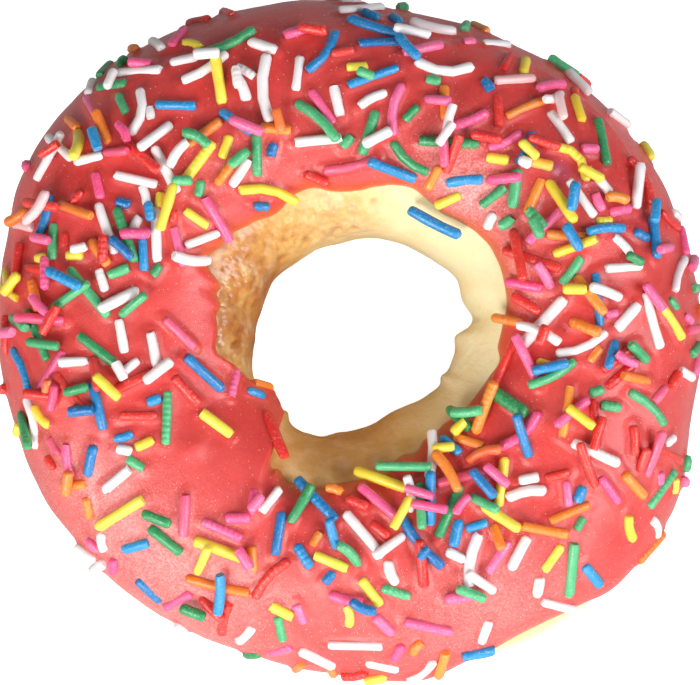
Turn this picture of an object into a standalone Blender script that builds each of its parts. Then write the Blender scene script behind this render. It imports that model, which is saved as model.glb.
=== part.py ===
"""A ring doughnut lying on its base: fried dough, a skin of icing over its top, and rod sprinkles set in it.

The ring's axis is Z and the surface it rests on is Z = 0. Metres throughout.
"""

import math
from collections import namedtuple

import bmesh
import bpy
import numpy as np
from mathutils import Matrix, Vector, noise

MM = 0.001

# The ring of dough, seen from above: a slightly squared oval round a hole that sits off its centre
RING_RADIUS = 43.15 * MM
OVAL_SWELL = 1.65 * MM
OVAL_AXIS_DEG = 147
SQUARED_SWELL = 0.62 * MM
RING_SWELLS = ((250, -1.3, 34), (278, 0.3, 22), (42, 1.1, 32), (12, 0.4, 20), (151, 0.7, 13), (345, -0.7, 14))
HOLE_RADIUS = 12.75 * MM
HOLE_SHIFT = (0.75 * MM, 1.1 * MM)
HOLE_SWELLS = (
    (14, 1.3, 28), (38, 0.8, 18), (92, -0.6, 24), (120, -0.8, 34), (156, -0.6, 20),
    (204, 1.2, 30), (236, 0.9, 26), (300, -1.8, 42),
)

# Its section: how high the widest part lies, how far it rises and sinks from there, and how full it is
WAIST_HEIGHT = 13.4 * MM
CROWN_RISE = 14.0 * MM
CROWN_SWELLS = ((60, 0.7, 70), (235, -0.6, 60), (330, 0.4, 40))
BELLY_DROP = 15.4 * MM
FULLNESS = 0.87
BASE_ROUNDING = 0.8 * MM
LUMP_SIZE = 11 * MM
LUMP_HEIGHT = 0.35 * MM
LEVEL_BASE_HEIGHT = 4 * MM
PROBE_DEG = 0.4

# The icing: where its skin ends on the outer side and in the hole, as degrees round the section
ICING_GAP = 0.6 * MM
ICING_THICKNESS = 1.2 * MM
ICING_LIP = 0.5
OUTER_EDGE_DEG = -11
OUTER_DRIPS = (
    (18, -7, 16), (48, 5, 15), (78, -12, 17), (104, 4, 12), (132, -7, 16), (166, -11, 15),
    (192, 4, 13), (218, 15, 18), (244, -3, 12), (272, 9, 14), (303, 35, 30), (340, -8, 18),
)
INNER_EDGE_DEG = 126
INNER_DRIPS = (
    (2, 3, 12), (30, -5, 25), (70, -6, 20), (107, -5, 14), (143, -6, 22), (152, -5, 8),
    (176, 4, 20), (214, 42, 32), (250, -13, 22), (270, -6, 22), (325, 8, 42),
)

# Sprinkles: rods of coloured sugar, most about five millimetres long, some broken stubs and some whole
SPRINKLE_RADIUS = 0.66 * MM
GIRTHS = (0.9, 1.1)
LENGTHS = ((2.3 * MM, 0.5 * MM, 0.25), (4.0 * MM, 0.7 * MM, 0.48), (6.0 * MM, 0.9 * MM, 0.27))
SHORTEST, LONGEST = 1.7 * MM, 8.4 * MM
BURIED = (0.18, 0.42)
BENT_SHARE = 0.25
MOST_BEND = 0.12
SPRINKLE_COUNT = 475
SPRINKLE_SEED = 23
COLOURS = ("white", "pink", "red", "orange", "yellow", "green", "blue")
COLOUR_SHARES = (0.17, 0.17, 0.16, 0.14, 0.11, 0.14, 0.11)
EDGE_MARGIN_DEG = 6
PLACES = 60000
TRIES = 160
PILED_SHARE = 0.45
LEVEL_ENOUGH = 0.45
STEEPEST_LEAN = 0.5
LEAN_OVERLAP = 0.08
MOST_OVERLAP = 0.2

# Where the sprinkles lie thin and where they lie thick: x, y and reach in mm, and how much
MOST_CROWDED = 3.0
BARE_PATCHES = (
    (-21, 3, 5.5, 0.97), (-16, -15, 7.0, 0.95), (-15, -21, 4.0, 0.8), (-40, 20, 6.0, 0.85),
    (-43, -12, 5.0, 0.7), (-9, 42, 5.0, 0.6), (12, 20, 5.0, 0.6), (17, 17, 5.0, 0.6), (37, 28, 6.0, 0.95),
    (42, 20, 5.0, 0.8), (42, -8, 6.0, 0.9), (22, -36, 7.0, 0.97), (31, -31, 6.0, 0.8), (10, -35, 5.0, 0.75),
    (-22, -33, 5.0, 0.5), (-35, -22, 4.5, 0.7), (-10, 22, 4.0, 0.4),
)
PILES = (
    (-29, 27, 8, 1.2), (-29, 15, 8, 1.5), (-35, 8, 6, 0.9), (3, 37, 6, 0.6), (10, 30, 7, 0.4),
    (23, 28, 6, 0.8), (29, 18, 8, 1.1), (28, 0, 8, 1.1), (35, -4, 5, 0.9), (22, -10, 6, 0.9),
    (3, -24, 9, 0.7), (13, -24, 7, 0.5), (-16, -29, 6, 0.6), (-35, -9, 7, 0.7), (41, -17, 5, 1.2),
    (-3, -40, 6, 0.5),
)

# The sprinkles that stand out, placed by hand: x, y, heading in degrees, length and bend in mm, girth, colour
MARKED_SPRINKLES = (
    (-10.4, 31.6, 88, 8.8, -0.8, 1.1, "white"), (19.7, -8.2, -33, 6.3, 0.0, 1.4, "green"),
    (3.0, 39.4, -27, 7.0, 0.3, 1.1, "blue"), (12.0, 34.6, -3, 7.2, 1.3, 1.05, "white"),
    (12.5, 24.4, -7, 7.6, 0.0, 1.05, "green"), (27.6, 21.9, -44, 6.2, -1.6, 0.95, "yellow"),
    (36.7, 20.0, -60, 6.4, -1.2, 1.0, "red"), (38.6, 12.8, 84, 5.6, 0.0, 1.1, "blue"),
    (28.1, -29.4, -86, 7.2, 0.0, 1.1, "green"), (-18.5, -4.5, -36, 6.4, 0.0, 1.05, "blue"),
    (10.0, -14.9, 87, 6.7, 0.4, 1.05, "white"), (-33.2, 5.6, -49, 8.0, 0.0, 0.95, "green"),
    (-15.6, 37.5, 37, 7.3, 0.5, 1.0, "green"), (-3.7, 36.2, 60, 6.6, 0.7, 1.0, "blue"),
    (-16.6, -27.0, -26, 6.9, 0.0, 1.15, "yellow"), (10.6, 14.7, -31, 7.3, 0.2, 1.05, "blue"),
    (-16.8, -31.4, -17, 8.2, 0.2, 0.95, "orange"), (22.9, 9.7, -18, 7.8, 0.0, 1.0, "red"),
    (1.8, -25.0, -50, 7.4, 0.0, 1.0, "white"), (9.1, -26.0, -53, 8.3, 0.5, 1.0, "blue"),
    (8.9, -21.4, -89, 6.1, 0.0, 0.95, "green"), (24.3, 1.7, 47, 8.0, 0.0, 1.2, "white"),
    (-27.4, 28.6, 86, 6.2, 1.0, 1.0, "white"), (-30.9, 13.7, -72, 6.8, 0.0, 1.0, "white"),
    (-28.5, 12.8, -73, 7.2, 0.0, 1.0, "green"), (-18.6, 25.8, 40, 5.5, 0.0, 1.0, "orange"),
    (-11.7, 22.8, 90, 5.4, 0.0, 1.0, "green"), (-4.0, 24.7, 9, 5.9, 0.0, 1.05, "white"),
    (-10.3, 17.6, -14, 7.6, -1.0, 1.0, "yellow"), (27.9, 12.7, -4, 6.1, 0.0, 1.0, "orange"),
    (22.4, -3.3, -63, 7.3, 0.0, 1.0, "pink"), (14.1, -17.7, 22, 6.8, 0.0, 1.0, "pink"),
    (-9.6, -12.5, -81, 6.9, 0.0, 1.05, "red"), (-32.0, -8.8, -77, 6.2, 0.0, 1.0, "blue"),
    (-23.4, -25.8, -44, 5.2, 0.0, 1.0, "green"), (24.7, -24.6, -13, 6.3, 0.0, 1.0, "orange"),
)

# How finely the solids are divided
AROUND = 64
DOUGH_SECTION = 20
ICING_SECTION = 22
ICING_OVER_TOP = 13
SOLID_SPRINKLES = 228
SPRINKLE_SIDES = 5
BEND_THAT_SHOWS = 0.6 * MM
SHARP_DEG = 40

Sprinkle = namedtuple("Sprinkle", "centre axis up length radius bend colour")
Rest = namedtuple("Rest", "place axis out slope curvature")


def unit(vectors):
    return vectors / np.linalg.norm(vectors, axis=-1, keepdims=True)


def swell(turn, swells):
    """Adds up bumps round the ring, each given by its middle, its size and its reach to either side."""
    total = np.zeros_like(turn)
    for middle, size, reach in swells:
        away = np.abs((turn - math.radians(middle) + np.pi) % (2 * np.pi) - np.pi)
        total = total + size * np.cos(np.clip(away / math.radians(reach), 0, 1) * np.pi / 2) ** 2
    return total


def ring_outline(turn):
    """The radii of the hole and of the outer side, from the ring's axis."""
    hole = HOLE_RADIUS + HOLE_SHIFT[0] * np.cos(turn) + HOLE_SHIFT[1] * np.sin(turn)
    outer = RING_RADIUS + OVAL_SWELL * np.cos(2 * (turn - math.radians(OVAL_AXIS_DEG)))
    outer = outer - SQUARED_SWELL * np.cos(4 * turn)
    return hole + swell(turn, HOLE_SWELLS) * MM, outer + swell(turn, RING_SWELLS) * MM


def ring_form(turn, roll):
    """Points on the smooth ring. roll goes round the section from the outer side over the top."""
    hole, outer = ring_outline(turn)
    across = np.sign(np.cos(roll)) * np.abs(np.cos(roll)) ** FULLNESS
    up = np.sign(np.sin(roll)) * np.abs(np.sin(roll)) ** FULLNESS
    radius = (outer + hole) / 2 + (outer - hole) / 2 * across
    rise = CROWN_RISE + swell(turn, CROWN_SWELLS) * MM
    height = WAIST_HEIGHT + np.where(up > 0, rise, BELLY_DROP) * up
    blend = np.clip(0.5 + 0.5 * height / BASE_ROUNDING, 0, 1)
    height = height * blend + BASE_ROUNDING * blend * (1 - blend)
    return np.stack([radius * np.cos(turn), radius * np.sin(turn), height], axis=-1)


def ring_directions(turn, roll):
    """Unit vectors on the ring: along it, up its section, and out of it."""
    probe = math.radians(PROBE_DEG)
    along = unit(ring_form(turn + probe, roll) - ring_form(turn - probe, roll))
    over = unit(ring_form(turn, roll + probe) - ring_form(turn, roll - probe))
    return along, over, unit(np.cross(along, over))


def lumps(points):
    """How far the uneven dough stands out at these points. Its base stays flat."""
    heights = np.array([noise.noise(Vector(p) / LUMP_SIZE) for p in points.reshape(-1, 3)])
    above_base = np.clip(points[..., 2] / LEVEL_BASE_HEIGHT, 0, 1)
    return heights.reshape(points.shape[:-1]) * LUMP_HEIGHT * above_base


def above_dough(turn, roll, lift):
    """Points that lie lift above the uneven dough."""
    smooth = ring_form(turn, roll)
    out = ring_directions(turn, roll)[2]
    return smooth + out * np.atleast_1d(lumps(smooth) + lift)[..., None]


def icing_edges(turn):
    """Where the icing ends round the section, on the outer side and in the hole."""
    outer = OUTER_EDGE_DEG + swell(turn, OUTER_DRIPS)
    inner = INNER_EDGE_DEG + swell(turn, INNER_DRIPS)
    return np.radians(outer), np.radians(inner)


def icing_top(turn, roll):
    """Points on the icing's upper side, away from its edges."""
    return above_dough(turn, roll, ICING_GAP + ICING_THICKNESS)


def icing_skin(turn, loop):
    """The icing's section is a closed loop: from its outer edge over its top to the hole, and back below."""
    outer, inner = icing_edges(turn)
    share = np.abs(loop) / np.pi
    share = np.where(loop > 0, (share + (1 - np.cos(loop)) / 2) / 2, share)
    thickness = ICING_THICKNESS * np.clip(np.sin(loop), 0, 1) ** ICING_LIP
    return above_dough(turn, outer + (inner - outer) * share, ICING_GAP + thickness)


def reshaped_torus(name, section, point):
    """A torus primitive with every vertex moved to point(turn, step), where step counts round its section."""
    bpy.ops.mesh.primitive_torus_add(
        major_segments=AROUND, minor_segments=section, major_radius=RING_RADIUS, minor_radius=RING_RADIUS / 3
    )
    ring = bpy.context.object
    ring.name = ring.data.name = name
    places = np.array([vertex.co for vertex in ring.data.vertices])
    turn = np.arctan2(places[:, 1], places[:, 0])
    roll = np.arctan2(places[:, 2], np.hypot(places[:, 0], places[:, 1]) - RING_RADIUS)
    step = np.round(roll * section / (2 * np.pi)) % section
    for vertex, place in zip(ring.data.vertices, point(turn, step)):
        vertex.co = place
    ring.data.update()
    return ring


def make_dough():
    dough = reshaped_torus(
        "dough", DOUGH_SECTION, lambda turn, step: above_dough(turn, 2 * np.pi * step / DOUGH_SECTION, 0)
    )
    dough.data.shade_smooth()
    return dough


def make_icing(sprinkles):
    """The skin of icing with the longest sprinkles joined to it. Its underside has the fewer steps."""
    below = ICING_SECTION - ICING_OVER_TOP

    def point(turn, step):
        on_top = step <= ICING_OVER_TOP
        loop = np.where(on_top, step / ICING_OVER_TOP, (step - ICING_SECTION) / below) * np.pi
        return icing_skin(turn, loop)

    icing = reshaped_torus("icing", ICING_SECTION, point)
    join_sprinkles(icing, sorted(sprinkles, key=lambda s: -s.length)[:SOLID_SPRINKLES])
    icing.data.set_sharp_from_angle(angle=math.radians(SHARP_DEG))
    return icing


def crowding(x, y):
    """How thick the sprinkles lie at places seen from above, from 0 to about MOST_CROWDED."""
    thick = np.ones_like(x)
    for px, py, reach, more in PILES:
        thick += more * np.exp(-((x / MM - px) ** 2 + (y / MM - py) ** 2) / reach**2)
    for px, py, reach, less in BARE_PATCHES:
        thick *= 1 - less * np.exp(-(((x / MM - px) ** 2 + (y / MM - py) ** 2) / reach**2) ** 2)
    return thick


def rest_on_icing(turn, roll, heading):
    """How a rod lies at each place: its spot, its direction, and the icing's slope and curvature under it."""
    along, over, out = ring_directions(turn, roll)
    place = icing_top(turn, roll)
    axis = along * np.cos(heading)[:, None] + over * np.sin(heading)[:, None]
    probe = math.radians(PROBE_DEG)
    per_turn = np.linalg.norm(ring_form(turn + probe, roll) - ring_form(turn, roll), axis=-1) / probe
    per_roll = np.linalg.norm(ring_form(turn, roll + probe) - ring_form(turn, roll), axis=-1) / probe
    half = LENGTHS[1][0] / 2
    rises = []
    for way in (-half, half):
        end = icing_top(turn + way * np.cos(heading) / per_turn, roll + way * np.sin(heading) / per_roll)
        rises.append(np.sum((end - place) * out, axis=-1))
    slope = (rises[1] - rises[0]) / (2 * half)
    curvature = -(rises[0] + rises[1]) / half**2
    return Rest(place, axis, out, slope, curvature)


def lay_rod(rest, i, length, radius, buried):
    """The centre, axis and upward side of a rod that lies at the i-th place, sunk in by its buried share."""
    axis = unit(rest.axis[i] + rest.out[i] * rest.slope[i])
    up = unit(rest.out[i] - axis * rest.out[i].dot(axis))
    return rest.place[i] + up * (radius * (1 - 2 * buried) - rest.curvature[i] * length**2 / 16), axis, up


def rod_gaps(centre, axis, half, laid):
    """From a rod's centre line to those laid before: distances, vectors across, and where along this rod."""
    centres = np.array([s.centre for s in laid])
    axes = np.array([s.axis for s in laid])
    halves = np.array([s.length / 2 - s.radius for s in laid])
    apart = centre - centres
    slant = axes @ axis
    own, other = apart @ axis, np.einsum("ij,ij->i", apart, axes)
    s = np.clip((slant * other - own) / np.maximum(1 - slant**2, 1e-6), -half, half)
    t = np.clip(other + s * slant, -halves, halves)
    s = np.clip(t * slant - own, -half, half)
    between = centre + s[:, None] * axis - centres - t[:, None] * axes
    return np.linalg.norm(between, axis=1), between, s


def lean_on(centre, axis, up, half, reach, laid):
    """Lifts a rod that crosses others until it rests on them, or returns None where it can't."""
    gaps, between, s = rod_gaps(centre, axis, half, laid)
    crossed = gaps < reach
    lift = (1 - LEAN_OVERLAP) * reach[crossed] - between[crossed] @ up
    s = s[crossed]
    if s.min() * s.max() > 0:
        far_end = -half if s.min() > 0 else half
        slopes = lift / (s - far_end)
        slope = slopes[np.argmax(np.abs(slopes))]
        if abs(slope) > STEEPEST_LEAN:
            return None
        centre = centre - up * slope * far_end
        axis = unit(axis + up * slope)
    else:
        centre = centre + up * lift.max()
    if (rod_gaps(centre, axis, half, laid)[0] < (1 - MOST_OVERLAP) * reach).any():
        return None
    return centre, axis, unit(up - axis * up.dot(axis))


def settle(spot, length, radius, laid, may_lean):
    """A rod's own spot where that is free, or how it leans on the rods it crosses, or None."""
    half = length / 2 - radius
    reach = np.array([s.radius for s in laid]) + radius
    if not laid or (rod_gaps(spot[0], spot[1], half, laid)[0] >= reach).all():
        return spot
    return lean_on(*spot, half, reach, laid) if may_lean else None


def marked_places():
    """Where the sprinkles placed by hand lie on the icing."""
    x, y, heading = (np.array(column, dtype=float) for column in list(zip(*MARKED_SPRINKLES))[:3])
    turn = np.arctan2(y, x)
    hole, outer = ring_outline(turn)
    across = (np.hypot(x, y) * MM - (outer + hole) / 2) / ((outer - hole) / 2 + ICING_GAP + ICING_THICKNESS)
    roll = np.arccos(np.sign(across) * np.abs(across) ** (1 / FULLNESS))
    along, over, _ = ring_directions(turn, roll)
    aim = np.stack([np.cos(np.radians(heading)), np.sin(np.radians(heading)), np.zeros_like(x)], axis=-1)
    return rest_on_icing(turn, roll, np.arctan2(np.sum(aim * over, axis=-1), np.sum(aim * along, axis=-1)))


def scattered_places(rng):
    """Places on the icing where a rod that falls from above may lie, thick where the sprinkles lie thick."""
    turn = rng.uniform(-np.pi, np.pi, PLACES)
    outer, inner = icing_edges(turn)
    margin = math.radians(EDGE_MARGIN_DEG)
    roll = rng.uniform(outer + margin, inner - margin)
    probe = math.radians(PROBE_DEG)
    spot = ring_form(turn, roll)
    area = np.cross(ring_form(turn + probe, roll) - spot, ring_form(turn, roll + probe) - spot)[:, 2]
    chance = crowding(spot[:, 0], spot[:, 1]) * area / area.max() / MOST_CROWDED
    kept = rng.random(PLACES) < chance
    return rest_on_icing(turn[kept], roll[kept], rng.uniform(0, np.pi, kept.sum()))


def strew():
    """Lays the sprinkles one by one: those placed by hand, then the rest from the longest to the shortest."""
    rng = np.random.default_rng(SPRINKLE_SEED)
    laid = []
    places = marked_places()
    for i, (_, _, _, length, bend, girth, colour) in enumerate(MARKED_SPRINKLES):
        length, radius = length * MM, girth * SPRINKLE_RADIUS
        spot = settle(lay_rod(places, i, length, radius, BURIED[0]), length, radius, laid, True)
        if spot:
            laid.append(Sprinkle(*spot, length, radius, bend * MM, colour))
    count = SPRINKLE_COUNT - len(laid)
    middles, spreads, shares = np.array(LENGTHS).T
    kind = rng.choice(len(LENGTHS), count, p=shares)
    lengths = np.sort(np.clip(rng.normal(middles[kind], spreads[kind]), SHORTEST, LONGEST))[::-1]
    places = scattered_places(rng)
    free = iter(range(len(places.place)))
    for length in lengths:
        radius = SPRINKLE_RADIUS * rng.uniform(*GIRTHS)
        bend = rng.uniform(-MOST_BEND, MOST_BEND) * length * (rng.random() < BENT_SHARE)
        colour = rng.choice(COLOURS, p=COLOUR_SHARES)
        may_pile = rng.random(TRIES) < PILED_SHARE
        buried = rng.uniform(*BURIED, TRIES)
        for may_lean, sunk, i in zip(may_pile, buried, free):
            may_lean = may_lean and places.out[i][2] > LEVEL_ENOUGH
            spot = settle(lay_rod(places, i, length, radius, sunk), length, radius, laid, may_lean)
            if spot:
                laid.append(Sprinkle(*spot, length, radius, bend, str(colour)))
                break
    return laid


def sprinkle_rod(sprinkle, collection):
    """One sprinkle as a prism with cut ends. A well bent one gets a bend at its middle."""
    shape = bmesh.new()
    bmesh.ops.create_cone(
        shape, cap_ends=True, segments=SPRINKLE_SIDES,
        radius1=sprinkle.radius, radius2=sprinkle.radius, depth=sprinkle.length,
    )
    if abs(sprinkle.bend) > BEND_THAT_SHOWS:
        everything = shape.verts[:] + shape.edges[:] + shape.faces[:]
        cut = bmesh.ops.bisect_plane(shape, geom=everything, plane_co=(0, 0, 0), plane_no=(0, 0, 1))
        middle = [part for part in cut["geom_cut"] if isinstance(part, bmesh.types.BMVert)]
        bmesh.ops.translate(shape, verts=middle, vec=(0, sprinkle.bend, 0))
    mesh = bpy.data.meshes.new("sprinkle")
    shape.to_mesh(mesh)
    shape.free()
    rod = bpy.data.objects.new("sprinkle", mesh)
    side = np.cross(sprinkle.axis, sprinkle.up)
    turned = Matrix([sprinkle.up, side, sprinkle.axis]).transposed().to_4x4()
    rod.matrix_world = Matrix.Translation(Vector(sprinkle.centre)) @ turned
    collection.objects.link(rod)


def join_sprinkles(icing, sprinkles):
    """Joins the sprinkles to the icing with one Boolean union."""
    rods = bpy.data.collections.new("sprinkles")
    bpy.context.scene.collection.children.link(rods)
    for sprinkle in sprinkles:
        sprinkle_rod(sprinkle, rods)
    union = icing.modifiers.new("sprinkles", "BOOLEAN")
    union.operation = "UNION"
    union.operand_type = "COLLECTION"
    union.collection = rods
    union.solver = "MANIFOLD"
    graph = bpy.context.evaluated_depsgraph_get()
    joined = bpy.data.meshes.new_from_object(icing.evaluated_get(graph))
    icing.modifiers.remove(union)
    icing.data = joined
    for rod in list(rods.objects):
        bpy.data.objects.remove(rod)
    bpy.data.collections.remove(rods)
    keep_main_piece(joined)


def keep_main_piece(mesh):
    """Drops every piece of a mesh but the largest: loose scraps, and the walls of sealed hollows."""
    shape = bmesh.new()
    shape.from_mesh(mesh)
    pieces, seen = [], set()
    for start in shape.verts:
        if start in seen:
            continue
        piece, waiting = {start}, [start]
        while waiting:
            for edge in waiting.pop().link_edges:
                fresh = set(edge.verts) - piece
                piece |= fresh
                waiting.extend(fresh)
        seen |= piece
        pieces.append(piece)
    main = max(pieces, key=len)
    loose = [vertex for vertex in shape.verts if vertex not in main]
    bmesh.ops.delete(shape, geom=loose, context="VERTS")
    shape.to_mesh(mesh)
    shape.free()


def finish_of(name, colour, roughness):
    """A plain material of one colour."""
    material = bpy.data.materials.new(name)
    material.use_nodes = True
    surface = material.node_tree.nodes["Principled BSDF"]
    surface.inputs["Base Color"].default_value = (*colour, 1)
    surface.inputs["Roughness"].default_value = roughness
    surface.inputs["Metallic"].default_value = 0
    return material


def put_in(collection, obj, material):
    """Moves an object to the doughnut's collection and gives it its material."""
    for holder in obj.users_collection:
        holder.objects.unlink(obj)
    collection.objects.link(obj)
    obj.data.materials.clear()
    obj.data.materials.append(material)


for leftover in list(bpy.data.objects):
    bpy.data.objects.remove(leftover)
doughnut = bpy.data.collections.new("doughnut")
bpy.context.scene.collection.children.link(doughnut)
put_in(doughnut, make_dough(), finish_of("fried_dough", (0.62, 0.34, 0.10), 0.6))
put_in(doughnut, make_icing(strew()), finish_of("pink_icing", (0.80, 0.11, 0.11), 0.3))
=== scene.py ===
import math
from collections import namedtuple

import bpy
import numpy as np
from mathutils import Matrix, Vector, noise


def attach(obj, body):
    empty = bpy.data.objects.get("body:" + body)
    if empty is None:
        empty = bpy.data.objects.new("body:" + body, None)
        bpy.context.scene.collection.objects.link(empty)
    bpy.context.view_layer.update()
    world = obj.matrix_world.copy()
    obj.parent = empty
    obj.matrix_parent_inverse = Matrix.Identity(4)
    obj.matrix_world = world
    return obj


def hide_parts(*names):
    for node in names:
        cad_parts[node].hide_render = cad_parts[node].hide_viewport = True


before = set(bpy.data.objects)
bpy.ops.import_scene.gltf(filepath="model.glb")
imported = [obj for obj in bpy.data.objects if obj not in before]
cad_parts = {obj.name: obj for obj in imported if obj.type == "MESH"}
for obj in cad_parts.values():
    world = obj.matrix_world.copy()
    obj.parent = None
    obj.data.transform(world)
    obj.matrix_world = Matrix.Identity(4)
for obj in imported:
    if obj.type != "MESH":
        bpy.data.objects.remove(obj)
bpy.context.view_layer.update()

# The ring of dough
# A ring of soft yeast dough, fried on one side and then on the other, so that its skin is golden, browner
# low down and pale in a line round its waist. It is torn and crumbly on the left and top of its hole.

MM = 0.001
RING_RADIUS = 43.15 * MM
OVAL_SWELL = 1.65 * MM
OVAL_AXIS_DEG = 147
SQUARED_SWELL = 0.62 * MM
RING_SWELLS = ((250, -1.3, 34), (278, 0.3, 22), (42, 1.1, 32), (12, 0.4, 20), (151, 0.7, 13), (345, -0.7, 14))
HOLE_RADIUS = 12.75 * MM
HOLE_SHIFT = (0.75 * MM, 1.1 * MM)
HOLE_SWELLS = (
    (14, 1.3, 28), (38, 0.8, 18), (92, -0.6, 24), (120, -0.8, 34), (156, -0.6, 20),
    (204, 1.2, 30), (236, 0.9, 26), (300, -1.8, 42),
)
WAIST_HEIGHT = 13.4 * MM
CROWN_RISE = 14.0 * MM
CROWN_SWELLS = ((60, 0.7, 70), (235, -0.6, 60), (330, 0.4, 40))
BELLY_DROP = 15.4 * MM
FULLNESS = 0.87
BASE_ROUNDING = 0.8 * MM
LUMP_SIZE = 11 * MM
LUMP_HEIGHT = 0.35 * MM
LEVEL_BASE_HEIGHT = 4 * MM
PROBE_DEG = 0.4

# Tears in the wall of the hole: degrees round the ring and the section, height in mm, and the reach of each
# in those two directions
TEARS = (
    (11, 176, -1.1, 6, 34), (30, 180, -0.9, 9, 30), (52, 180, -0.5, 14, 30), (2, 178, 0.9, 5, 30),
    (339, 180, 0.5, 3, 26), (228, 178, 0.5, 3, 16), (238, 180, -0.6, 8, 34), (252, 180, -0.9, 9, 34),
    (200, 178, -0.5, 20, 30), (285, 180, -0.4, 14, 30), (96, 176, 0.2, 7, 24),
    (128, 150, -0.5, 6, 12), (150, 146, 0.4, 6, 12), (163, 150, -0.6, 5, 14), (112, 138, -0.4, 7, 10),
    (80, 140, 0.3, 8, 10), (140, 128, 0.35, 5, 8), (172, 136, 0.35, 5, 9), (60, 150, -0.25, 9, 12),
)
TORN_ROUND_RING = ((148, 1.0, 52), (100, 0.9, 38), (186, 0.7, 18))
TORN_ON_WALL = (142, 40)
# How much browner the wall of the hole is round the ring: partly real browning, partly painted shade on the
# walls that face away from the key light
BROWN_AND_SHADE_ROUND_HOLE = ((268, 0.55, 82), (205, 0.3, 60), (168, 0.8, 48), (134, 0.64, 36), (96, 0.26, 34))
PALE_BAND = (14.5 * MM, 3.4 * MM)
BROWN_HEIGHTS = (3 * MM, 10.5 * MM)
BASE_SKIN_HEIGHT = 0.4 * MM
# How brown the skin is on the outer side and in the hole, from 0 to 1, and what the heights above change
BROWN_OUTSIDE, BROWN_LOW_OUTSIDE, PALER_IN_BAND = 0.42, 0.6, 0.5
BROWN_INSIDE, BROWN_LOW_INSIDE = 0.06, 0.35
TORN_STRENGTH = 1.4

DOUGH_AROUND = 560
SHOWN_FROM_DEG = 104
SHOWN_TO_DEG = 388
SHOWN_STEPS = 160
HIDDEN_STEPS = 14


def unit(vectors):
    return vectors / np.linalg.norm(vectors, axis=-1, keepdims=True)


def ease(value, low, high):
    """Rises smoothly from 0 at low to 1 at high."""
    share = np.clip((value - low) / (high - low), 0, 1)
    return share * share * (3 - 2 * share)


def away_from(turn, middle_deg):
    """The angle from a direction round the ring, in degrees, without its sign."""
    return np.abs((np.degrees(turn) - middle_deg + 180) % 360 - 180)


def swell(turn, swells):
    """Adds up bumps round the ring, each given by its middle, its size and its reach to either side."""
    total = np.zeros_like(turn)
    for middle, size, reach in swells:
        total = total + size * np.cos(np.clip(away_from(turn, middle) / reach, 0, 1) * np.pi / 2) ** 2
    return total


def ring_outline(turn):
    """The radii of the hole and of the outer side, from the ring's axis."""
    hole = HOLE_RADIUS + HOLE_SHIFT[0] * np.cos(turn) + HOLE_SHIFT[1] * np.sin(turn)
    outer = RING_RADIUS + OVAL_SWELL * np.cos(2 * (turn - math.radians(OVAL_AXIS_DEG)))
    outer = outer - SQUARED_SWELL * np.cos(4 * turn)
    return hole + swell(turn, HOLE_SWELLS) * MM, outer + swell(turn, RING_SWELLS) * MM


def ring_form(turn, roll):
    """Points on the smooth ring. roll goes round the section from the outer side over the top."""
    hole, outer = ring_outline(turn)
    across = np.sign(np.cos(roll)) * np.abs(np.cos(roll)) ** FULLNESS
    up = np.sign(np.sin(roll)) * np.abs(np.sin(roll)) ** FULLNESS
    radius = (outer + hole) / 2 + (outer - hole) / 2 * across
    rise = CROWN_RISE + swell(turn, CROWN_SWELLS) * MM
    height = WAIST_HEIGHT + np.where(up > 0, rise, BELLY_DROP) * up
    blend = np.clip(0.5 + 0.5 * height / BASE_ROUNDING, 0, 1)
    height = height * blend + BASE_ROUNDING * blend * (1 - blend)
    return np.stack([radius * np.cos(turn), radius * np.sin(turn), height], axis=-1)


def ring_directions(turn, roll):
    """Unit vectors on the ring: along it, up its section, and out of it."""
    probe = math.radians(PROBE_DEG)
    along = unit(ring_form(turn + probe, roll) - ring_form(turn - probe, roll))
    over = unit(ring_form(turn, roll + probe) - ring_form(turn, roll - probe))
    return along, over, unit(np.cross(along, over))


def lumps(points):
    """How far the uneven dough stands out at these points. Its base stays flat."""
    heights = np.array([noise.noise(Vector(p) / LUMP_SIZE) for p in points.reshape(-1, 3)])
    above_base = np.clip(points[..., 2] / LEVEL_BASE_HEIGHT, 0, 1)
    return heights.reshape(points.shape[:-1]) * LUMP_HEIGHT * above_base


def above_dough(turn, roll, lift):
    """Points that lie lift above the uneven dough."""
    smooth = ring_form(turn, roll)
    out = ring_directions(turn, roll)[2]
    return smooth + out * np.atleast_1d(lumps(smooth) + lift)[..., None]


def tears(turn, roll):
    """How far torn dough stands out of the hole's wall, or is missing from it."""
    total = np.zeros_like(turn)
    for middle, height, size, reach, tall in TEARS:
        near = np.exp(-((away_from(turn, middle) / reach) ** 2) - ((np.degrees(roll) - height) / tall) ** 2)
        total = total + size * MM * near
    return total


def closed_ring(name, around, section, point):
    """A closed mesh whose vertices are point(turn, step), where step counts round the ring's section."""
    turn = np.repeat(np.arange(around) * 2 * np.pi / around, section)
    step = np.tile(np.arange(section), around)
    here = np.arange(around * section)
    beside = here - step + (step + 1) % section
    faces = np.stack([here, (here + section) % len(here), (beside + section) % len(here), beside], axis=-1)
    mesh = bpy.data.meshes.new(name)
    mesh.from_pydata(point(turn, step).tolist(), [], faces.tolist())
    mesh.shade_smooth()
    ring = bpy.data.objects.new(name, mesh)
    bpy.context.scene.collection.objects.link(ring)
    return ring, turn, step


def keep_mask(mesh, name, values):
    """Stores one number for each vertex, for a material or a node tree to read."""
    mask = mesh.attributes.get(name) or mesh.attributes.new(name, "FLOAT", "POINT")
    mask.data.foreach_set("value", values.astype(np.float32))


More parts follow.
